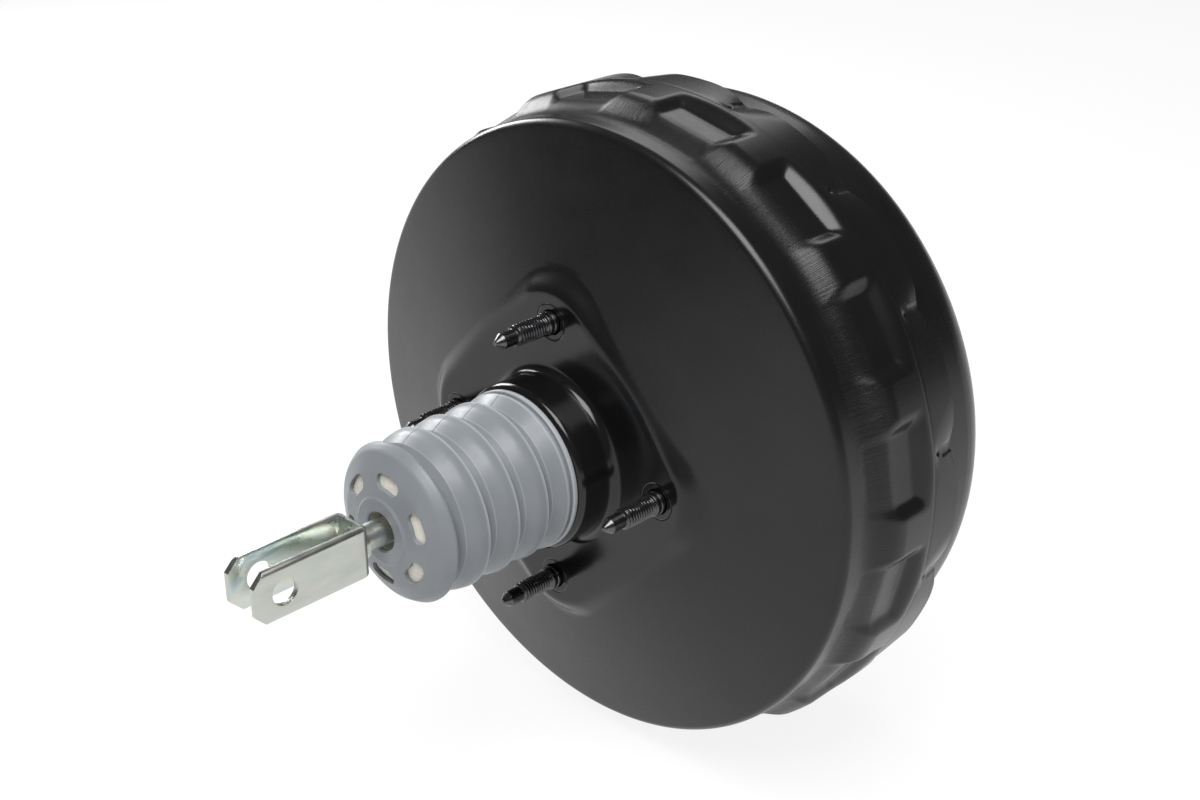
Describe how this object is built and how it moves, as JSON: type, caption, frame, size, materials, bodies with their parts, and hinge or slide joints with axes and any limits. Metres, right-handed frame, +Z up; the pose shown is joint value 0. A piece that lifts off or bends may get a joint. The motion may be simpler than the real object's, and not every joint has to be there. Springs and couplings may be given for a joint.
{
  "type": "brake booster",
  "caption": "Vacuum brake booster: pressed round chamber with lanced rim, mounting studs, bellows, pedal rod with clevis, and a diaphragm piston with its valve inside.",
  "frame": {"origin": "on the booster axis, in the plane of the pedal side mounting pad", "axes": "+Y along the booster axis from the pedal to the engine side, +Z up, +X to the right seen from the pedal"},
  "size_m": [0.2616, 0.2949, 0.2616],
  "materials": {
    "shell_paint": "satin black paint over drawn steel",
    "stud_black": "black phosphated and oiled steel",
    "zinc_plate": "zinc plated, faint yellow passivation",
    "boot_rubber": "matte grey silicone rubber",
    "felt": "cream felt",
    "foam": "open cell filter foam",
    "housing_plastic": "moulded phenolic resin",
    "bush_plastic": "natural nylon",
    "pressed_steel": "zinc plated pressed steel",
    "spring_steel": "oiled spring wire",
    "black_rubber": "black nitrile rubber",
    "plunger_metal": "turned aluminium",
    "valve_plastic": "black nylon"
  },
  "bodies": {
    "housing": {"rear_shell": "shell_paint", "rear_plate": "pressed_steel", "rear_studs": "stud_black", "front_shell": "shell_paint", "front_plate": "pressed_steel", "front_studs": "stud_black", "front_ring": "black_rubber", "guide_bush": "bush_plastic", "neck_seal": "black_rubber", "seal_retainer": "pressed_steel", "diaphragm": "black_rubber", "return_spring": "spring_steel", "check_valve_grommet": "black_rubber", "check_valve_body": "valve_plastic", "check_valve_spring": "spring_steel"},
    "power_piston": {"valve_body": "housing_plastic", "stop_key": "pressed_steel", "diaphragm_plate": "pressed_steel", "poppet_valve": "black_rubber", "poppet_retainer": "pressed_steel", "poppet_spring": "spring_steel", "input_spring": "spring_steel", "air_filter": "foam", "boot_felt": "felt", "boot": "boot_rubber", "reaction_disc": "black_rubber", "output_rod": "zinc_plate", "output_rod_tip": "zinc_plate", "output_clip": "pressed_steel"},
    "plunger": {"valve_plunger": "plunger_metal"},
    "pedal_rod": {"input_rod": "zinc_plate", "rod_washer": "pressed_steel", "clevis": "zinc_plate"},
    "check_disc": {"check_valve_disc": "black_rubber"}
  },
  "joints": [
    {"name": "booster_stroke", "type": "slide", "parent": "housing", "child": "power_piston", "axis": [0, 1, 0], "range_m": [0, 0.032], "stiffness_N_per_m": 3500, "springref_m": -0.01, "deforming": ["return_spring", "boot", "diaphragm"]},
    {"name": "valve_travel", "type": "slide", "parent": "power_piston", "child": "plunger", "axis": [0, 1, 0], "range_m": [0, 0.0015], "stiffness_N_per_m": 1500, "springref_m": -0.003, "deforming": ["input_spring"]},
    {"name": "rod_swivel", "type": "hinge", "parent": "plunger", "child": "pedal_rod", "pos_m": [0, -0.006, 0], "axis": [1, 0, 0], "range_deg": [-1.5, 1.5]},
    {"name": "check_lift", "type": "slide", "parent": "housing", "child": "check_disc", "axis": [0, 1, 0], "range_m": [0, 0.0015], "stiffness_N_per_m": 60, "springref_m": -0.001, "deforming": ["check_valve_spring"]}
  ]
}
